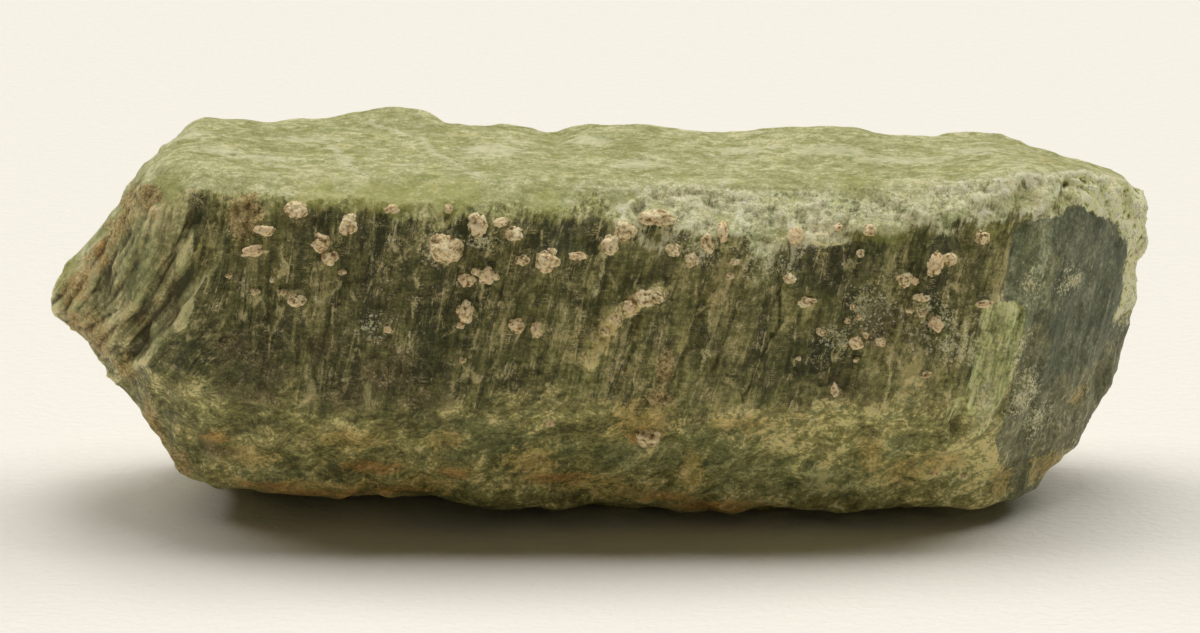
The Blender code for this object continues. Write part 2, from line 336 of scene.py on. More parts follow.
def near_line(across, up, line):
    """How far each place is from a line of points."""
    nearest = np.full_like(across, 1e3)
    for (a0, u0), (a1, u1) in zip(line, line[1:]):
        length = (a1 - a0) ** 2 + (u1 - u0) ** 2
        share = np.clip(((across - a0) * (a1 - a0) + (up - u0) * (u1 - u0)) / length, 0, 1)
        away = np.hypot(across - a0 - share * (a1 - a0), up - u0 - share * (u1 - u0))
        nearest = np.minimum(nearest, away)
    return nearest


# Oval patches of the front and the lower band, as (x, z, half width, half height)
DARK_PATCHES = (
    (-13, 25.4, 3, 6.5), (-2.7, 24.4, 1.4, 3.7), (20.1, 25.9, 3.2, 2.4), (-24, 29.7, 1.8, 2.3),
    (-19.3, 26.7, 2.6, 4.6), (13.5, 20.6, 1, 4.6), (18.8, 17.8, 3.6, 2.6), (3, 20.6, 1.3, 2.8),
    (-31, 20.5, 2.6, 3.2), (8.3, 20.3, 1, 3.6), (4.8, 18.8, 0.9, 3.6), (29, 24, 1.6, 3.5),
)
GOLD_PATCHES = (
    (-6.7, 7.6, 3, 1.9), (-1.4, 4.6, 3.6, 1.1), (2.2, 3.8, 2.6, 1.2), (-24.8, 4.2, 9, 1),
    (7.6, 6.5, 1.2, 2.6), (23.6, 8.2, 1.1, 2.4), (3, 12.3, 3, 2.2), (-32.3, 7.6, 2.6, 1.2),
    (-22.7, 9.9, 2.6, 1.3), (-14.2, 10.1, 1.8, 1.3), (11.8, 11.9, 2.6, 0.9), (26.8, 6.5, 1.8, 1.6),
    (35.6, 4.7, 1.2, 1.8), (40, 4.5, 2, 1.4), (43.2, 10.5, 0.9, 1),
    (30, 7.5, 2.4, 1.2), (-16, 5, 3, 1),
)
ORANGE_PATCHES = (
    (-21.5, 6.7, 3.1, 0.8), (-13.5, 6.4, 1.5, 0.6), (-25.8, 3.3, 7, 0.5), (9.9, 2.1, 4.2, 0.9),
    (-30.3, 4.2, 2.6, 0.5), (-18.5, 4, 3.6, 0.5), (-4.1, 5.6, 2.6, 0.7), (3.4, 10.4, 1.4, 1),
    (5.5, 3.4, 2, 0.6), (-35, 9.5, 1.4, 0.8), (-45.5, 25.5, 1, 1.8), (-47.5, 22, 0.8, 1.5),
    (-43.5, 28.5, 0.8, 1.5),
)
RUST_PATCHES = (
    (-40, 31.4, 1.3, 1.5), (-31.6, 30.9, 1.3, 2), (-46.9, 23, 0.8, 1.6), (-45.7, 17.6, 1.2, 1.8),
    (-44.2, 27.6, 0.8, 2), (-41, 8.8, 0.7, 3.4), (-48, 18.1, 0.8, 1.4), (-42.9, 14.8, 0.9, 1.2),
    (-38.8, 5.5, 1.2, 1.4), (-48.5, 20.5, 0.6, 1.2),
    (-42.6, 29.4, 0.7, 1.4), (5.2, 17, 0.6, 1.2), (4.6, 14.6, 0.9, 0.5),
)
UMBER_PATCHES = (
    (-32.5, 19.2, 2, 1.4), (-19.3, 16.7, 2.6, 2), (-25, 19.2, 1.6, 1.4), (-33.5, 15.6, 1, 1.6),
    (-31.3, 14.7, 2.6, 1.2), (-22.9, 14.5, 2, 1.2), (-15.5, 14.5, 2, 1.2), (-26.6, 30.6, 1.4, 0.6),
    (-34.5, 8, 1.6, 1), (-29.5, 17, 1.6, 1.6), (21.5, 15.5, 2, 1.2), (24, 20.5, 1.6, 2),
)
FROST_PATCHES = (
    (8.2, 27.3, 2.6, 1.1), (14.4, 26.5, 2.6, 1.8), (23.2, 22, 2.3, 2.3), (30.7, 19.2, 2.2, 1.8),
    (29.3, 21.2, 1.8, 1.8), (38, 23.6, 1.1, 2.4), (36.6, 17.9, 1.4, 1.4), (38.7, 9.9, 1.8, 1.8),
    (46.8, 29.3, 1.4, 1.8), (-15.3, 28.1, 0.8, 1.8), (-11, 28.4, 1.8, 0.7), (41.5, 22.5, 1.4, 1.4),
    (37.5, 13, 1.6, 2.4), (33.6, 13.5, 1, 2), (32.4, 18, 0.8, 2), (-20.5, 21, 1.2, 1),
    (20.5, 19.5, 2, 1.2),
)
YELLOW_PATCHES = (
    (-19.7, 31.7, 5.5, 1.2), (-13.6, 31.7, 3.7, 1.2), (-5.3, 31.2, 1.6, 1.3), (-25, 32, 2.8, 1.2),
    (22.4, 31.6, 2.8, 0.8), (24, 28.5, 3.8, 1), (36.6, 30.6, 2.8, 0.9), (15.2, 28.3, 2.8, 0.7),
    (40.9, 29.9, 1.8, 0.8), (48, 28.4, 0.9, 1.8), (-38.2, 32.1, 1.8, 1.5), (33.8, 28.5, 1.8, 1),
    (-48.5, 21.5, 1.2, 2.6), (-37, 3.6, 2, 1),
)
SLATE_PATCHES = (
    (8.4, 8.3, 3.6, 2.2), (14.7, 5.9, 3.6, 1.7), (-11.1, 10.2, 3.6, 1.5), (-29.3, 4.9, 2.2, 1.1),
    (-4.1, 8.8, 1.4, 1), (1.3, 8.2, 1.8, 1.1), (20.1, 5.3, 2.8, 1.3), (26.2, 8.9, 1.3, 1.3),
    (-41, 25, 2, 3.4), (-36.5, 24, 1, 3), (-38, 18.5, 2.4, 1.6), (-34.5, 21, 1.6, 3),
    (-35, 29, 1, 2),
)
LIGHT_PATCHES = (
    (-2, 18.5, 4, 4), (7.5, 19.5, 5, 6), (11.5, 24, 3, 4), (17, 22, 2, 2),
    (20, 7, 8, 4), (32, 8, 5, 5), (33, 17, 3, 6), (23, 14.5, 4, 4), (25, 18.5, 2, 4), (9, 22, 3, 5),
    (11, 19, 3, 5), (-35.5, 14, 1.8, 2.6),
)
PATCHES = {
    "dark": DARK_PATCHES, "gold": GOLD_PATCHES, "orange": ORANGE_PATCHES, "rust": RUST_PATCHES,
    "umber": UMBER_PATCHES, "light": LIGHT_PATCHES, "frost": FROST_PATCHES,
    "yellow": YELLOW_PATCHES, "slate": SLATE_PATCHES,
}
# Painted shade between the ridges of the left end's folds
FOLD_SHADE_PATCHES = (
    (-36.2, 26.5, 0.7, 2.6), (-37.8, 23.8, 0.9, 1.8), (-39.5, 21, 1.4, 1.4), (-41.5, 18.3, 1.6, 1),
    (-44.5, 23.5, 0.8, 2), (-34.6, 29, 0.5, 1.6),
)
# Milky patches of the top, as (x, y, half width, half depth), and its veins as lines
MILK_PATCHES = (
    (-34.9, -3.1, 2.6, 1.5), (-27.8, 2.7, 2.8, 1.4), (-23.3, -3.8, 0.9, 1.8), (-9.5, 0, 3.7, 1.8),
    (3.1, -3.6, 2.8, 1.8), (12.2, 2, 3.7, 1.4), (34.1, 2.7, 2.8, 1.8), (-30.8, -4.4, 2.8, 1),
    (-1.4, 4, 2.8, 1.4), (20.4, 1.6, 3.7, 1.8), (26.5, -1, 4.6, 1.4), (-38, 2, 2, 2),
)
MILK_VEINS = (
    ((-25.5, 2.5), (-23.3, -3.8), (-21, -9)), ((-17, 4), (-15.5, -1), (-11, -8)),
    ((-30, -6), (-26, -7), (-21, -9.5)), ((-22, 8), (-18, 5), (-14, 6)),
)
# Pale edges of the front's columns, as lines of (x, z)
PALE_EDGES = (
    ((-15.8, 31.5), (-16.3, 26), (-17.1, 19.3)), ((0.6, 29), (-0.8, 25), (-2.9, 19.5)),
    ((26.2, 22.1), (25, 17), (24.1, 12.9)), ((-23.4, 24), (-24.5, 18)), ((-28, 28), (-28.6, 22)),
    ((9.8, 24), (8.4, 17)), ((31.5, 21), (30.2, 14)), ((34, 19), (33, 12.5)),
)
# Its lighter columns, and its one long dark crack
LIGHT_COLUMNS = (
    ((27.6, 22), (25.6, 13.5)), ((31.6, 21), (29.6, 13.5)), ((-2.2, 25), (-4.6, 17.5)),
    ((9.5, 25), (7.2, 15)), ((35, 27), (34, 22)), ((25.5, 28), (24.5, 23)),
)
DARK_CRACKS = (((16.1, 28.8), (14.8, 20.5), (11, 11.3)),)
# The tan vein that runs down from the largest cluster of grains
TAN_VEIN = ((4.5, 23.8), (3, 23.2), (1.9, 22.4), (0.5, 21.2), (-0.6, 19.6), (-1.2, 18))


def fold_line(z):
    return np.interp(z, FOLD_HEIGHTS, FOLD_PLACES)


def across_grain(x, z):
    """Places across the crystal's grain: constant along each stripe, in millimetres."""
    share = ease(LEAN_FROM, LEAN_TO, x)
    lean = LEAN_LEFT + (LEAN_RIGHT - LEAN_LEFT) * share
    upright = x - (z - GRAIN_MIDDLE) * lean
    folded = x - fold_line(z) + fold_line(GRAIN_MIDDLE)
    left = 1 - ease(-36, -30, x)
    return upright + (folded - upright) * left


class Skin:
    """The crystal's surface as arrays of places and normals, in millimetres."""

    def __init__(self, mesh):
        self.mesh = mesh
        count = len(mesh.vertices)
        place = np.empty(count * 3)
        mesh.vertices.foreach_get("co", place)
        self.place = place.reshape(-1, 3) / MM
        normal = np.empty(count * 3)
        mesh.vertex_normals.foreach_get("vector", normal)
        self.normal = normal.reshape(-1, 3)
        ends = np.empty(len(mesh.edges) * 2, dtype=np.int32)
        mesh.edges.foreach_get("vertices", ends)
        self.ends = ends.reshape(-1, 2)
        self.x, self.y, self.z = self.place.T
        self.across = across_grain(self.x, self.z)
        calm = np.stack([self.spread(part, CALM_PASSES) for part in self.normal.T], axis=1)
        self.calm = calm / np.linalg.norm(calm, axis=1)[:, None]

    def spread(self, values, times):
        """Values for each point, evened out over their neighbours again and again."""
        first, second = self.ends.T
        count = len(self.x)
        shares = np.bincount(first, minlength=count) + np.bincount(second, minlength=count)
        for _ in range(times):
            total = np.bincount(first, values[second], count) + np.bincount(second, values[first], count)
            values = 0.5 * values + 0.5 * total / np.maximum(shares, 1)
        return values

    def hollow(self, place, times):
        """How far each point lies in a hollow, or out on a ridge where below 0, in millimetres."""
        even = np.stack([self.spread(part, times) for part in place.T], axis=1)
        return ((even - place) * self.normal).sum(axis=1)

    def zones(self):
        """Where each kind of surface, patch and line lies, as a share from 0 to 1."""
        ragged = 0.8 * wander(self.place, 3, 1) + 0.4 * wander(self.place, 1.2, 2)
        front_side = ease(0.15, -0.15, self.calm[:, 1])
        zone = self.sides(ragged, front_side)
        zone.update(self.accents(ragged, front_side))
        for name, spots in PATCHES.items():
            hidden = ease(0.15, 0.5, wander(self.place, 6, 11 + len(name)))
            shown = patches(self.x, self.z, spots) * front_side
            zone[name] = shown + HIDDEN_SHARE * hidden * (1 - front_side)
        for name in ("rust", "umber", "orange"):
            zone[name] *= 1 - zone["top"]
        self.add_lines(zone, front_side)
        return zone

    def sides(self, ragged, front_side):
        """The sides that the skin is divided into, with uneven borders."""
        x, y, z = self.x, self.y, self.z
        ny, nz = self.calm.T[1:]
        zone = {}
        rounded = 0.3 * np.maximum(ease(-33, -38, x), ease(0, 0.3, ny) * ease(26, 30, z))
        zone["top"] = ease(0.7, 0.96, nz + rounded + 0.06 * ragged) * ease(20, 25, z)
        zone["rim"] = ease(0.08, 0.55, nz + 0.2 * ragged) * front_side
        zone["rim"] *= ease(-1.6, 1.0, z - np.interp(x, RIM_PLACES, RIM_FLOORS) + 1.6 * ragged)
        uneven = 3 * ragged + 4 * wander(self.place, 9, 3)
        zone["band"] = ease(2.6, -2.6, z - BAND_TOP + uneven) * front_side
        rind_start = np.interp(z, RIND_HEIGHTS, RIND_PLACES)
        zone["rind"] = ease(-1.0, 0.6, x - rind_start + 0.8 * ragged) * ease(20, 30, x)
        zone["rind"] *= (1 - zone["top"]) * ease(12, 20, z)
        facet_start = np.interp(z, FACET_HEIGHTS, FACET_PLACES)
        zone["facet"] = ease(-0.25, 0.25, x - facet_start + 0.4 * ragged)
        zone["facet"] *= ease(29.6, 28.4, z + ragged) * (1 - zone["rind"])
        zone["fold"] = ease(1.2, -0.5, x - fold_line(z) - 1.8 + 0.6 * ragged) * ease(-35, -37, x)
        zone["fold"] *= 1 - zone["top"]
        zone["front"] = front_side * math.prod(1 - share for share in zone.values())
        return zone

    def accents(self, ragged, front_side):
        """Where a side's looks change within it."""
        x, z = self.x, self.z
        fin_edge = np.interp(z, FIN_HEIGHTS, FIN_PLACES)
        fin_left = fin_edge - FIN_WIDTH + 1.2 * ragged
        return {
            "flowing": ease(-0.1, -0.45, self.calm[:, 1]),
            "crust": ease(CRUST_END + 0.2, CRUST_END - 0.2, x + 0.3 * ragged) * ease(18, 21, z),
            "warm": np.maximum(ease(17, 11, z + 2 * ragged), ease(41, 37.5, x + 2 * ragged)),
            "frosted": ease(FROSTED_FROM, FROSTED_TO, x + 4 * ragged),
            "fin": ease(-1.4, 1.6, x - fin_left) * ease(0.25, -0.05, x - fin_edge)
            * ease(6, 18, z + 3 * ragged) * ease(22.4, 22, z) * front_side,
            "deep": patches(x, z, FOLD_SHADE_PATCHES) * front_side,
            "tan": ease(1.5, 0.2, near_line(x, z, TAN_VEIN)) * front_side,
        }

    def add_lines(self, zone, front_side):
        """Add what runs along lines: milky veins, pale edges, lighter columns and the crack."""
        veins = [ease(0.9, 0.1, near_line(self.x, self.y, line)) for line in MILK_VEINS]
        milk = patches(self.x, self.y, MILK_PATCHES)
        zone["milk"] = np.maximum(milk, 0.8 * np.maximum.reduce(veins))
        bent = self.x + 0.6 * wander(self.place, 2.2, 5)
        width = 0.12 + 0.35 * wander(self.place, 1.1, 6)

        def along(lines, low, high, width=0):
            away = np.minimum.reduce([near_line(bent, self.z, line) for line in lines])
            return ease(low, high, away - width) * front_side

        zone["pale"] = along(PALE_EDGES, 0.25, -0.15, width)
        zone["light"] = np.maximum(zone["light"], along(LIGHT_COLUMNS, 1.3, 0.7))
        zone["crack"] = along(DARK_CRACKS, 0.1, -0.2, width)


def laths(skin, width, rise, length, seed=0):
    """Long narrow steps that run with the grain, each broken across here and there."""
    bent = skin.across / width + 0.7 * wander(skin.place, 4 * width, 21 + seed, (1, 1, 4))
    column = np.floor(bent)
    within = bent - column
    uneven = skin.z / length + 0.12 * wander(skin.place, 1.5, 22 + seed)

    def raised(number):
        return chance(number + 31 * seed, np.floor(uneven + 7 * chance(number)))

    here = raised(column)
    return rise * (here + (raised(column + 1) - here) * ease(0.75, 1, within) - 0.5)


def grooves(skin, width, seed):
    """Sharp-edged grooves that run with the grain: 0 at their beds."""
    lined = np.stack((skin.across, skin.y * 0.3, skin.z * 0.15), axis=1)
    return np.abs(wander(lined, width, seed))


def terraced(values, step):
    """The values in steps, each with a short slope up to the next."""
    steps = np.floor(values / step)
    return step * (steps + ease(0.55, 1, values / step - steps))


# How far each texture stands out of each side, stain or line, in millimetres
RELIEF = {
    "front": {"striped": 1.0},
    "facet": {"grooved": 0.2, "hackly": 0.1, "facet laths": 0.12},
    "plain rim": {"striped": 0.75, "rough": 0.12},
    "frosted rim": {"striped": 0.4, "hackly": 0.2, "rough": 0.14, "blocky": 0.35},
    "band": {"coarse": 0.5, "rough": 0.07, "band laths": 0.2},
    "flowing fold": {"fluted": 1.0},
    "far fold": {"coarse": 0.5, "blocky": 0.3, "hackly": 0.2},
    "fold": {"rough": 0.08},
    "top": {"coarse": 0.16, "hackly": 0.05},
    "rind": {"blocky": 0.75, "rough": 0.2, "hackly": 0.22},
    "rust": {"rough": 0.12, "hackly": 0.1},
    "frost": {"hackly": 0.15},
    "tan": {"even": 0.35, "hackly": 0.3, "rough": 0.2},
    "crack": {"even": -0.3},
    "pale": {"even": 0.2},
    "far side": {"coarse": 0.45, "hackly": 0.3, "far laths": 0.35},
}


def textures(skin):
    """The heights of each kind of relief, which the table then makes stronger or weaker."""
    rough, coarse = wander(skin.place, 0.7, 31), wander(skin.place, 2.4, 32)
    hackly = terraced(wander(skin.place, 1.3, 34), 0.3)
    grooved = grooves(skin, 1.1, 33)
    steps = laths(skin, 2.6, 0.36, 9) + laths(skin, 1.1, 0.22, 4, 1)
    side_on = ease(0.9, 0.5, np.abs(skin.calm[:, 0]))
    return {
        "even": np.ones_like(rough), "rough": rough, "coarse": coarse, "hackly": hackly,
        "blocky": terraced(coarse, 0.22), "grooved": grooved,
        "striped": steps + 0.2 * grooved + 0.08 * rough + 0.1 * hackly,
        "fluted": 0.9 * grooves(skin, 1.9, 35) + 0.3 * grooves(skin, 0.7, 36),
        "facet laths": laths(skin, 1.6, 1, 9, 4), "band laths": laths(skin, 2.2, 1, 4, 2),
        "far laths": side_on * laths(skin, 2.4, 1, 7, 3),
    }


def fine_relief(skin, zone):
    """How far each point moves along its normal, in millimetres, for the fine relief."""
    texture = textures(skin)
    rim, fold = zone["rim"] * (1 - zone["top"]), zone["fold"]
    share = dict(zone)
    share["plain rim"], share["frosted rim"] = rim * (1 - zone["frosted"]), rim * zone["frosted"]
    share["flowing fold"], share["far fold"] = fold * zone["flowing"], fold * (1 - zone["flowing"])
    shown = sum(zone[name] for name in ("top", "rim", "front", "band", "fold", "facet", "rind"))
    share["far side"] = np.clip(1 - shown, 0, 1)
    moved = np.zeros_like(skin.x)
    for side, depths in RELIEF.items():
        for name, depth in depths.items():
            moved += share[side] * depth * texture[name]
    return moved


def as_object(name, mesh):
    obj = bpy.data.objects.new(name, mesh)
    bpy.context.scene.collection.objects.link(obj)
    return obj


def with_modifiers(mesh, *steps):
    """The mesh after modifiers, each given as its type and its settings."""
    obj = as_object("work", mesh)
    for kind, settings in steps:
        modifier = obj.modifiers.new(kind.lower(), kind)
        for name, value in settings.items():
            setattr(modifier, name, value)
    graph = bpy.context.evaluated_depsgraph_get()
    result = bpy.data.meshes.new_from_object(obj.evaluated_get(graph), depsgraph=graph)
    bpy.data.objects.remove(obj)
    return result


def write_zone(mesh, name, values):
    """Keep a number for each point of the mesh under the name given."""
    attribute = mesh.attributes.new(name, "FLOAT", "POINT")
    attribute.data.foreach_set("value", np.ascontiguousarray(values, dtype=np.float32))


def crystal_body():
    """The crystal's skin over the whole solid, with its fine relief and its zones."""
    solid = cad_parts["apatite_crystal"].data.copy()
    remesh = ("REMESH", {"mode": "VOXEL", "voxel_size": SKIN_FACE * MM})
    smooth = ("SMOOTH", {"factor": 0.5, "iterations": SKIN_PASSES})
    mesh = with_modifiers(solid, remesh, smooth)
    skin = Skin(mesh)
    zone = skin.zones()
    moved = skin.place + skin.normal * fine_relief(skin, zone)[:, None]
    flake = np.interp(skin.x, FLAKE_PLACES, FLAKE_RISES) * ease(9, 13, skin.y) * ease(28, 31, skin.z)
    moved[:, 2] += flake
    moved[:, 2] = np.maximum(moved[:, 2], 0)
    mesh.vertices.foreach_set("co", (moved * MM).ravel())
    corners = len(mesh.loops) - 2 * len(mesh.polygons)
    mesh = with_modifiers(mesh, ("DECIMATE", {"ratio": min(SKIN_TRIANGLES / corners, 1)}))
    mesh.materials.clear()
    skin = Skin(mesh)
    zone = skin.zones()
    zone["across"] = skin.across
    # Crevices and broad hollows, where the finish paints shade
    zone["crevice"] = np.clip(skin.hollow(skin.place, 4) / CREVICE_DEPTH, -1, 1)
    zone["hollow"] = np.clip(skin.hollow(skin.place, 30) / HOLLOW_DEPTH, -1, 1)
    for name, values in zone.items():
        write_zone(mesh, name, values)
    mesh.shade_smooth()
    return as_object("crystal_body", mesh)


# The calcite grains of the front, as (x, z, width, height)
GRAINS = (
    (-26.9, 31.1, 2.1, 1.5), (-29.7, 29.4, 1.9, 1.0), (-30.5, 27.7, 2.4, 1.0), (-24.8, 28.2, 1.9, 1.8),
    (-24.0, 26.9, 1.6, 1.4), (-22.4, 29.7, 1.8, 1.8), (-18.6, 31.1, 1.3, 0.9), (-23.0, 25.6, 0.9, 0.7),
    (-32.9, 25.3, 0.9, 0.7), (-29.1, 25.0, 0.7, 0.7), (-30.6, 23.9, 1.0, 0.7), (-28.1, 23.9, 0.8, 0.7),
    (-27.1, 23.3, 1.6, 1.3), (-19.1, 20.7, 0.9, 0.7), (-13.7, 31.1, 0.9, 0.8), (-11.0, 29.8, 1.8, 2.2),
    (-9.0, 30.0, 1.5, 0.9), (-7.9, 28.9, 1.7, 1.5), (-14.0, 27.8, 3.0, 2.8), (-7.3, 26.7, 1.3, 1.1),
    (-5.0, 26.7, 2.3, 2.1), (-2.5, 27.1, 1.8, 0.8), (-12.2, 25.1, 1.5, 1.3), (-11.3, 25.8, 1.0, 0.9),
    (-10.4, 25.4, 1.8, 1.5), (-12.1, 23.1, 0.8, 0.8), (-12.3, 22.2, 1.3, 1.8), (-12.7, 21.1, 0.9, 0.7),
    (-7.8, 21.1, 1.5, 1.3), (-6.1, 20.7, 1.1, 1.5), (-12.5, 18.1, 0.7, 0.7), (0.5, 27.8, 1.5, 1.7),
    (1.6, 29.1, 1.9, 1.8), (4.4, 30.0, 3.2, 1.4), (5.8, 27.4, 1.5, 1.3), (7.6, 26.4, 1.3, 1.3),
    (8.9, 27.8, 1.4, 2.0), (10.2, 28.8, 1.1, 2.0), (11.3, 26.2, 1.1, 0.7), (11.0, 25.0, 0.9, 0.7),
    (16.6, 28.5, 1.5, 1.7), (16.0, 24.9, 1.3, 0.9), (17.6, 23.0, 1.7, 0.9), (20.4, 29.0, 0.8, 0.8),
    (23.1, 28.9, 1.2, 1.2), (22.3, 26.9, 0.8, 0.8), (28.9, 26.0, 1.5, 2.2), (30.2, 26.4, 1.5, 1.3),
    (26.2, 24.6, 1.5, 1.3), (27.1, 24.5, 0.9, 0.8), (27.7, 23.2, 1.5, 0.8), (33.1, 28.0, 1.3, 1.3),
    (33.2, 22.3, 1.8, 0.8), (21.7, 22.3, 0.7, 0.7), (21.2, 21.1, 0.7, 0.6), (22.2, 21.4, 0.6, 0.6),
    (18.9, 20.1, 1.0, 0.9), (21.9, 19.3, 1.3, 1.1), (22.8, 19.9, 0.7, 0.7), (24.1, 19.3, 1.0, 0.9),
    (16.9, 18.0, 0.6, 0.5), (22.0, 17.8, 0.7, 0.6), (20.1, 15.4, 0.7, 1.3), (26.7, 21.9, 0.9, 0.7),
    (27.8, 21.7, 0.8, 0.7), (29.0, 20.8, 1.3, 1.5), (28.2, 16.5, 1.0, 0.7), (3.7, 10.5, 2.3, 2.0),
    (-4.9, 12.0, 1.2, 0.8), (29.4, 6.1, 0.9, 0.7), (32.2, 5.6, 0.8, 0.6), (3.3, 23.4, 2.0, 1.5),
    (4.6, 23.6, 1.5, 1.1), (2.1, 22.6, 1.5, 1.4), (0.9, 21.7, 1.2, 1.2), (0.0, 20.6, 0.9, 1.0),
)
GRAIN_SEED = 7
# How far in front of the crystal the search for the skin starts
GRAIN_RAY = 60
# The share of a grain's depth that lies in the skin, and the crumbs at its edge
GRAIN_SUNK = 0.4
GRAIN_CRUMBS = 2
# A grain next to the width given for it, and the width from which it is made finer
GRAIN_SIZE = 0.9
GRAIN_LARGE = 1.2
# Rounded knobs across one grain, then its core, knobs, swells and grit next to its size
GRAIN_KNOBS = 2.4
GRAIN_CORE = 0.72
GRAIN_KNOB_REACH = 0.4
GRAIN_SWELL = 0.35
GRAIN_GRIT = 0.12
# How far apart the noise of two grains is taken
GRAIN_STEP = 3.7


def add_lump(bm, hollow, place, turn, half, seed, rounds):
    """Add one knobbly lump, and note how hollow its surface is at each point, for the painted shade in
    its creases.
    """
    lump = bmesh.ops.create_icosphere(bm, subdivisions=rounds, radius=1)
    for vert in lump["verts"]:
        way = vert.co.normalized()
        spot = way * GRAIN_KNOBS + Vector((seed, 0, 0))
        crease = min(noise.voronoi(spot)[0][0], 1)
        swell = noise.noise(way * 1.2 + Vector((0, seed, 0)))
        dome = math.sqrt(1 - crease * crease)
        vert[hollow] = 1 - dome
        reach = GRAIN_CORE + GRAIN_KNOB_REACH * dome + GRAIN_SWELL * swell
        reach += GRAIN_GRIT * noise.noise(spot * 3)
        vert.co = place + turn @ Vector([w * h for w, h in zip(way, half)]) * reach


def add_grain(bm, surface, pick, number, grain):
    """Add one grain where the skin lies behind its place, with smaller crumbs at its edge."""
    x, z, width, height = grain
    hollow = bm.verts.layers.float["hollow"]
    place, normal = surface.ray_cast(Vector((x, -GRAIN_RAY, z)) * MM, Vector((0, 1, 0)))[:2]
    turn = normal.to_track_quat("-Y", "Z").to_matrix()
    depth = 0.4 * min(width, height) + 0.3
    half = [GRAIN_SIZE * side * MM for side in (width / 2, depth, height / 2)]
    rounds = 4 if width > GRAIN_LARGE else 3
    sunk = normal * half[1] * GRAIN_SUNK
    add_lump(bm, hollow, place - sunk, turn, half, GRAIN_STEP * number, rounds)
    for crumb in range(GRAIN_CRUMBS):
        angle = pick.uniform(0, math.tau)
        way = Vector((math.cos(angle) * half[0], 0, math.sin(angle) * half[2]))
        spot = place + turn @ way * pick.uniform(0.5, 0.95) - sunk
        share = pick.uniform(0.25, 0.5)
        small = [share * (side + half[1]) / 2 for side in half]
        add_lump(bm, hollow, spot, turn, small, GRAIN_STEP * number + crumb + 0.5, rounds - 1)


def calcite_grains(body):
    """The small tan grains grown into the front, as one mesh of knobbly crumbs."""
    pick = random.Random(GRAIN_SEED)
    surface = bvhtree.BVHTree.FromObject(body, bpy.context.evaluated_depsgraph_get())
    bm = bmesh.new()
    bm.verts.layers.float.new("hollow")
    tint = bm.verts.layers.float.new("tint")
    for number, grain in enumerate(GRAINS):
        first = len(bm.verts)
        add_grain(bm, surface, pick, number, grain)
        bm.verts.ensure_lookup_table()
        shade = pick.random()
        for vert in bm.verts[first:]:
            vert[tint] = shade
    mesh = bpy.data.meshes.new("calcite_grains")
    bm.to_mesh(mesh)
    bm.free()
    mesh.shade_smooth()
    return as_object("calcite_grains", mesh)


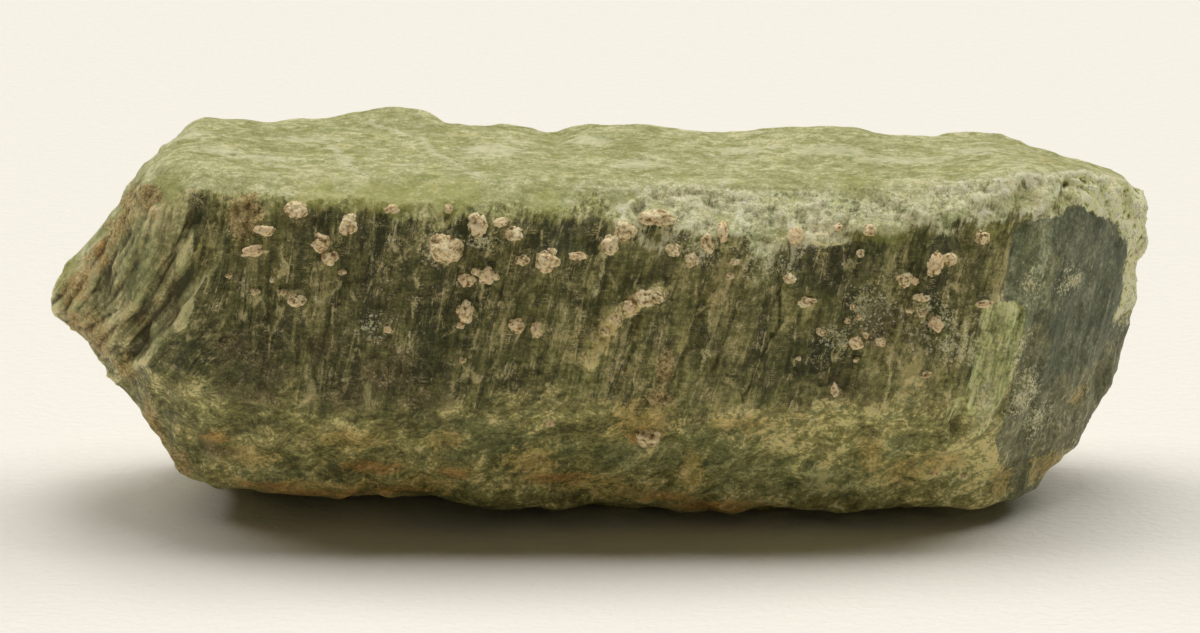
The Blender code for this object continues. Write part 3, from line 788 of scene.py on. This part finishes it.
class Apatite(Finish):
    """Waxy green apatite: striated dark front, pale waxy top, frosted rim, stained band."""

    def __init__(self):
        super().__init__(
            "green_apatite", IOR=1.63, Specular_IOR_Level=0.3, Subsurface_Weight=0.1,
            Subsurface_Radius=(1.0, 1.1, 0.4), Subsurface_Scale=0.0015,
        )
        self.add_textures()
        bare = self.wandering(self.stained_and_shaded(self.sides()))
        glint = paint(*GLINT_COLOUR, LIT["front"])
        rust = self.zone("rust")
        # Painted highlights: pale glints mixed into the colour, where the surface is also made glossier
        self.feed(
            Base_Color=self.mix(self.glint * 0.55, bare, glint),
            Roughness=0.5 - self.zone("top") * 0.06 + rust * 0.25 + self.grain * 0.08 - self.glint * 0.2,
        )
        self.raise_bumps(self.bumps())

    def add_textures(self):
        """The textures that the tones are mixed from, each about 0 and mostly from -1 to 1."""
        here = self.place()
        self.grain = self.noise(here, 0.3, 4.0, 0.8)
        self.crumb = self.noise(here, 0.2, 2.0, 0.6)
        self.crystal = self.specks(here, 0.35) - 0.5
        self.cloud = self.noise(here, 1.4, 4.0, 0.65, 0.4)
        self.blotch = self.noise(here, 5.0, 4.0, 0.6, 0.5)
        self.fleck = self.noise(self.place(2.2, 1.3, 1.2), 0.6, 4.0, 0.7, 0.3)
        self.dash = self.noise(self.place(5, 5, 0.6), 0.45, 3.0, 0.65)
        self.flow = self.noise(self.place(1.6, 1.6, 1), 1.0, 4.0, 0.7, 1.2)
        self.mottle = self.noise(self.leaning(), 1.5, 5.0, 0.75, 0.6)
        self.stripe = self.noise(self.drawn_out(7), 1.3, 4.0, 0.7, 0.3)
        self.hair = self.noise(self.drawn_out(10), 0.3, 3.0, 0.7)
        self.window = self.specks(self.drawn_out(5), 2.4) - 0.5
        self.sliver = self.specks(self.drawn_out(7), 0.7) - 0.5
        # Crevices and hollows: a negative share of either in a tone below is painted shade
        self.crevice, self.hollow = self.zone("crevice"), self.zone("hollow")
        self.crumbs = self.tone(0, crumb=1, cloud=0.35, blotch=0.15).above(0.5, 0.75)
        # Specks of painted highlight
        self.glint = self.specks(here, 0.17).above(0.88, 0.94) * self.sparkling()

    def drawn_out(self, amount):
        """Places across the crystal's grain, with what lies along it drawn out by the amount."""
        parts = self.node("ShaderNodeSeparateXYZ", None, {0: self.place()})
        depth, rise = [Value(self, parts.outputs[axis]) for axis in "YZ"]
        line = {"X": self.zone("across") + self.cloud * 0.12, "Y": depth * 0.5, "Z": rise * (1 / amount)}
        return self.value("ShaderNodeCombineXYZ", None, line)

    def leaning(self):
        """Places drawn out along a line that leans to the right as it rises."""
        turned = self.value("ShaderNodeVectorRotate", {"rotation_type": "Y_AXIS"}, {
            "Vector": self.place(), "Angle": MOTTLE_LEAN,
        })
        return self.value("ShaderNodeVectorMath", {"operation": "MULTIPLY"}, {0: turned, 1: (1, 1, 0.5)})

    def tone(self, middle, **shares):
        """A lightness about the middle, from how much there is in it of each texture."""
        for name, share in shares.items():
            middle = middle + share * getattr(self, name)
        return middle

    def ragged(self, name, low, high, **shares):
        """A zone broken up by textures at its borders and inside."""
        return (self.zone(name) + self.tone(0, **shares)).above(low, high)

    def sparkling(self):
        """Where frost clusters sparkle, as painted highlights."""
        frosted_rim = self.zone("rim") * self.zone("frosted")
        frosty = self.zone("frost") * 0.8 + frosted_rim * 0.6 + self.zone("front") * 0.25
        return self.tone(frosty, cloud=0.6, blotch=0.3).above(0.2, 0.9) * (1 - self.zone("top") * 0.7)

    def front(self):
        """Dark windows into the crystal between olive columns, crossed by pale hairlines."""
        dark = self.ragged("dark", 0.35, 0.5, window=0.8, hair=0.15, grain=0.1)
        # Darker in crevices: painted shade
        tone = self.tone(
            0.47, window=0.45, sliver=0.3, stripe=0.2, hair=0.3, grain=0.35, dash=0.2, crumb=0.1,
            crystal=0.25, blotch=0.2, crevice=-0.15,
        )
        colour = self.shades(tone - dark * 0.25 + self.zone("light") * 0.35, "front")
        lines = self.hair.size().below(0.12, 0.03) * self.tone(0, cloud=1, stripe=1).above(0, 0.6)
        dashes = self.dash.size().below(0.1, 0.03) * self.tone(0, cloud=1, stripe=-0.5).above(0, 0.6)
        borders = self.edges(self.drawn_out(5), 2.4).below(0.04, 0.01) * self.cloud.above(-0.2, 0.3)
        seams = self.edges(self.drawn_out(6), 3.1).below(0.06, 0.01) * self.cloud.above(-0.6, 0)
        colour = self.mix(seams * 0.55, colour, paint(38, 36, 18, LIT["front"]))
        crumbs = self.crumbs * self.tone(0, blotch=1, stripe=0.6).above(0, 0.6)
        pale = lines.most(dashes).most(borders).most(crumbs) * 0.8
        return self.mix(pale, colour, self.shades(self.tone(0.55, grain=0.5, blotch=0.2), "pale line"))

    def top(self):
        """Waxy, mottled and flecked, with milky patches and veins."""
        # Darker in broad hollows: painted shade
        tone = self.tone(
            0.5, blotch=0.45, cloud=0.4, fleck=0.7, grain=0.6, crumb=0.2, crystal=0.35, hollow=-0.2
        )
        colour = self.shades(tone, "top")
        flecks = self.tone(0, fleck=1, cloud=0.5, grain=0.3).above(0.75, 0.95)
        milk = self.ragged("milk", 0.3, 0.85, cloud=0.3, fleck=0.35)
        return self.mix(flecks.most(milk * 0.7) * 0.7, colour, paint(226, 222, 192, LIT["top"]))

    def rim(self):
        """Yellow green with fibrous strokes to the left, frosted and blocky to the right."""
        # Both darker in crevices: painted shade
        green = self.shades(self.tone(
            0.5, stripe=0.4, hair=0.6, sliver=0.45, cloud=0.2, grain=0.5, crystal=0.35, crevice=-0.2
        ), "rim")
        frost = self.shades(self.tone(
            0.5, stripe=0.2, hair=0.35, window=0.35, cloud=0.3, grain=0.5, crystal=0.4, crevice=-0.25
        ), "frosted rim")
        return self.mix(self.ragged("frosted", 0.3, 0.8, blotch=0.5, cloud=0.3), green, frost)

    def band(self):
        """Softly mottled, slate green and golden."""
        # Darker in crevices: painted shade
        tone = self.tone(
            0.48, mottle=0.7, flow=0.4, grain=0.5, blotch=0.45, crystal=0.3, crevice=-0.1
        ) + self.zone("light") * 0.32
        slate = self.ragged("slate", 0.15, 0.4, mottle=-0.7, blotch=0.3, flow=0.3) * 0.8
        return self.mix(slate, self.shades(tone, "band"), self.shades(tone, "slate"))

    def facet(self):
        """Grey green, browner below, with fine upright streaks and a frosted crust at its left."""
        # Darker in crevices: painted shade
        tone = self.tone(
            0.45, hair=0.3, stripe=0.2, mottle=0.5, grain=0.5, blotch=0.35, crystal=0.3, crevice=-0.15
        )
        warm = self.ragged("warm", 0.3, 0.8, blotch=0.3, cloud=0.3)
        colour = self.mix(warm, self.shades(tone, "facet"), self.shades(tone, "low facet"))
        colour = self.mix(self.ragged("crust", 0.4, 0.6, cloud=0.1), colour, self.shades(tone, "crust"))
        return self.mix(self.crumbs * 0.3, colour, paint(154, 162, 138, LIT["facet"]))

    def fold(self):
        """Flowing ridges with painted shade between them."""
        flowing = self.zone("flowing")
        striped = self.tone(0, hair=0.3, stripe=0.45) * flowing
        mottled = self.tone(-0.15, mottle=0.25, blotch=0.25, fleck=0.25) * (1 - flowing)
        # Darker in crevices, broad hollows and between the fold ridges: painted shade
        tone = self.tone(
            0.54, cloud=0.2, grain=0.4, hollow=-0.45, crevice=-0.2, crystal=0.2
        ) + striped + mottled - self.zone("deep") * 0.35
        slate = self.ragged("slate", 0.3, 0.7, stripe=0.4, cloud=0.2) * 0.8
        colour = self.mix(slate, self.shades(tone, "fold"), self.shades(tone, "slate"))
        brown = self.tone(0, stripe=-0.8, blotch=0.6, hair=0.4, grain=0.3).above(0.35, 0.7)
        return self.mix(brown * 0.6, colour, self.shades(tone, "orange"))

    def fin(self):
        """Bright and streaked, frosted lower down."""
        tone = self.tone(0.52, hair=0.55, stripe=0.4, sliver=0.45, cloud=0.25, grain=0.45, crystal=0.25)
        return self.shades(tone, "fin")

    def rind(self):
        """Pale and crumbly, with thin dark cracks."""
        # Darker in crevices and broad hollows: painted shade
        tone = self.tone(0.68, cloud=0.45, grain=0.6, mottle=0.3, crystal=0.4, crevice=-0.5, hollow=-0.3)
        cracks = self.cloud.size().below(0.09, 0.02) * self.mottle.above(-0.3, 0.1)
        return self.mix(cracks * 0.7, self.shades(tone, "rind"), paint(90, 84, 50, LIT["rind"]))

    def sides(self):
        """The colours of all sides, each laid over the last with a ragged border."""
        front, band = self.front(), self.band()
        colour = self.mix(self.tone(0, blotch=1, cloud=0.3).above(-0.1, 0.5), front, band)
        for name, over, low, high, shares in (
            ("front", front, 0.4, 0.6, {"cloud": 0.2, "grain": 0.1}),
            ("band", band, 0.3, 0.8, {"cloud": 0.4, "grain": 0.2, "stripe": 0.3, "flow": 0.3}),
            ("rim", self.rim(), 0.3, 0.8, {"cloud": 0.15, "stripe": 0.35, "hair": 0.45}),
            ("fold", self.fold(), 0.4, 0.6, {"cloud": 0.15, "grain": 0.1}),
            ("facet", self.facet(), 0.45, 0.55, {"cloud": 0.1, "grain": 0.1}),
            ("fin", self.fin(), 0.4, 0.7, {"cloud": 0.2, "stripe": 0.4, "hair": 0.4}),
            ("rind", self.rind(), 0.35, 0.7, {"cloud": 0.3, "grain": 0.3}),
            ("top", self.top(), 0.3, 0.7, {"cloud": 0.2, "grain": 0.2, "hair": 0.1}),
        ):
            colour = self.mix(self.ragged(name, low, high, **shares), colour, over)
        return colour

    def stained_and_shaded(self, colour):
        """The colour under the stains and the frost that lie over the sides, then painted shade in the
        crevices.
        """
        grainy = {"cloud": 0.35, "grain": 0.6, "crumb": 0.2}
        frosty = {"cloud": 0.5, "grain": 0.9, "crumb": 0.4}
        crusty = {"cloud": 0.6, "hair": 0.4, "grain": 0.7}
        flowing = {"mottle": 0.6, "grain": 0.5, "flow": 0.3}
        # Darker in crevices: painted shade
        crumbly = self.tone(0.5, grain=0.5, crumb=0.3, cloud=0.2, crevice=-0.2)
        mottled = self.tone(0.45, mottle=0.5, grain=0.5, flow=0.3)
        for name, share, low, high, shares, over in (
            ("yellow", 0.5, 0.4, 0.9, {"cloud": 0.35, "hair": 0.3}, paint(150, 148, 72, LIT["rim"])),
            ("frost", 0.8, 0.75, 1.0, frosty, self.shades(crumbly, "frost")),
            ("pale", 0.7, 0.5, 1.0, grainy, self.shades(crumbly, "pale line")),
            ("gold", 0.75, 0.4, 0.8, flowing, self.shades(mottled, "gold")),
            ("orange", 0.85, 0.35, 0.75, flowing, self.shades(mottled, "orange")),
            ("umber", 0.8, 0.4, 0.8, {"cloud": 0.5, "grain": 0.9}, self.shades(crumbly, "umber")),
            ("rust", 1.0, 0.2, 0.55, grainy, self.shades(crumbly, "rust")),
            ("tan", 0.9, 0.5, 0.95, crusty, self.shades(crumbly + 0.12, "vein")),
            ("crack", 0.6, 0.5, 0.9, {"cloud": 0.3, "grain": 0.3}, paint(50, 42, 20, LIT["front"])),
        ):
            near = self.zone(name).above(0.03, 0.3) * share
            colour = self.mix(self.ragged(name, low, high, **shares) * near, colour, over)
        # Painted shade: the crevices darkened, less on the lower band and not at all on the top
        crevice_shade = self.crevice.above(0.3, 1.0) * (1 - self.zone("band") * 0.7) * (1 - self.zone("top"))
        return self.mix(crevice_shade * 0.4, colour, paint(40, 35, 14, LIT["front"]))

    def wandering(self, colour):
        """The colour, here greener and there browner, here richer and there dustier."""
        hue = self.tone(0.5, blotch=0.25, cloud=0.3, grain=0.25)
        varied = self.mix(1, colour, self.ramp(hue, *HUES), "MULTIPLY")
        colour = self.mix(1 - self.zone("top") * 0.6, colour, varied)
        dust = self.tone(0.5, flow=0.25, crumb=0.25, stripe=0.2)
        return self.mix(1, colour, self.ramp(dust, *DUSTS), "MULTIPLY")

    def bumps(self):
        """How far the finest texture stands out, in millimetres."""
        sides = self.tone(0, hair=0.05, crumb=0.03) * (1 - self.zone("top"))
        columns = self.tone(0, window=0.12, sliver=0.1) * self.zone("front").most(self.zone("rim"))
        rusty = self.zone("rust") * self.grain * 0.05
        return self.tone(sides + columns + rusty, grain=0.04, cloud=0.04, fleck=0.03)


def calcite_finish():
    """Sugary tan calcite, with painted shade in its hollows, and pinkish in some of the grains."""
    finish = Finish(
        "tan_calcite", IOR=1.55, Specular_IOR_Level=0.25, Subsurface_Weight=0.1, Subsurface_Scale=0.001,
    )
    here = finish.place()
    grain = finish.noise(here, 0.25, 4.0, 0.7)
    patch = finish.noise(here, 0.9, 3.0)
    tint = finish.zone("tint")
    # Darker where the surface is hollow: painted shade
    tone = 0.8 + patch * 0.3 + grain * 0.65 + tint * 0.15 - finish.zone("hollow") * 1.6
    colour = finish.shades(tone, "grain")
    pinkish = finish.mix(1, colour, (0.96, 0.8, 0.7, 1), "MULTIPLY")
    colour = finish.mix(tint.above(0.6, 0.9) * 0.4, colour, pinkish)
    finish.feed(Base_Color=colour, Roughness=0.65 + grain * 0.1)
    finish.raise_bumps(grain * 0.04 + patch * 0.03)
    return finish.material


def paper_finish():
    """The pale sheet that the crystal lies on."""
    finish = Finish("pale_paper", Base_Color=paint(*SHEET_COLOUR), Roughness=0.9, Specular_IOR_Level=0.1)
    ripple = finish.noise(finish.place(1.6, 1, 1), 0.8, 3.0, 0.6, 0.5)
    finish.raise_bumps(ripple, strength=0.25, reach=0.3)
    return finish.material


def floor():
    bpy.ops.mesh.primitive_plane_add(size=SHEET_SIDE, location=(0, 0, -SHEET_DROP * MM))
    sheet = bpy.context.object
    sheet.name = "floor"
    sheet.data.materials.append(paper_finish())


def studio():
    """A long strip of soft light, high and a little behind, in a pale warm room."""
    for lean, strength in zip(LIGHT_LEANS, LIGHT_STRENGTHS):
        data = bpy.data.lights.new("softbox", "SUN")
        data.angle = LIGHT_SPREAD
        data.energy = strength
        data.color = LIGHT_COLOUR
        light = bpy.data.objects.new("softbox", data)
        turn = Matrix.Rotation(lean, 3, "Y") @ Matrix.Rotation(-LIGHT_TILT, 3, "X")
        light.rotation_euler = turn.to_euler()
        bpy.context.scene.collection.objects.link(light)
    world = bpy.data.worlds.new("pale_room")
    bpy.context.scene.world = world
    world.use_nodes = True
    background = world.node_tree.nodes["Background"]
    background.inputs["Color"].default_value = paint(*ROOM_COLOUR)
    background.inputs["Strength"].default_value = ROOM_STRENGTH


def camera():
    data = bpy.data.cameras.new("camera")
    data.lens = CAMERA_LENS
    data.sensor_width = CAMERA_SENSOR
    eye = bpy.data.objects.new("camera", data)
    away = CAMERA_WIDTH_SEEN * CAMERA_LENS / CAMERA_SENSOR
    level, up = math.cos(CAMERA_ELEVATION), math.sin(CAMERA_ELEVATION)
    eye.location = (Vector(CAMERA_AIM) + away * Vector((0, -level, up))) * MM
    eye.rotation_euler = (math.radians(90) - CAMERA_ELEVATION, 0, 0)
    bpy.context.scene.collection.objects.link(eye)
    bpy.context.scene.camera = eye


camera()
body = crystal_body()
body.data.materials.append(Apatite().material)
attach(body, "root")
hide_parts("apatite_crystal")
grains = calcite_grains(body)
grains.data.materials.append(calcite_finish())
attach(grains, "root")
floor()
studio()
bpy.context.scene.view_settings.view_transform = "Standard"
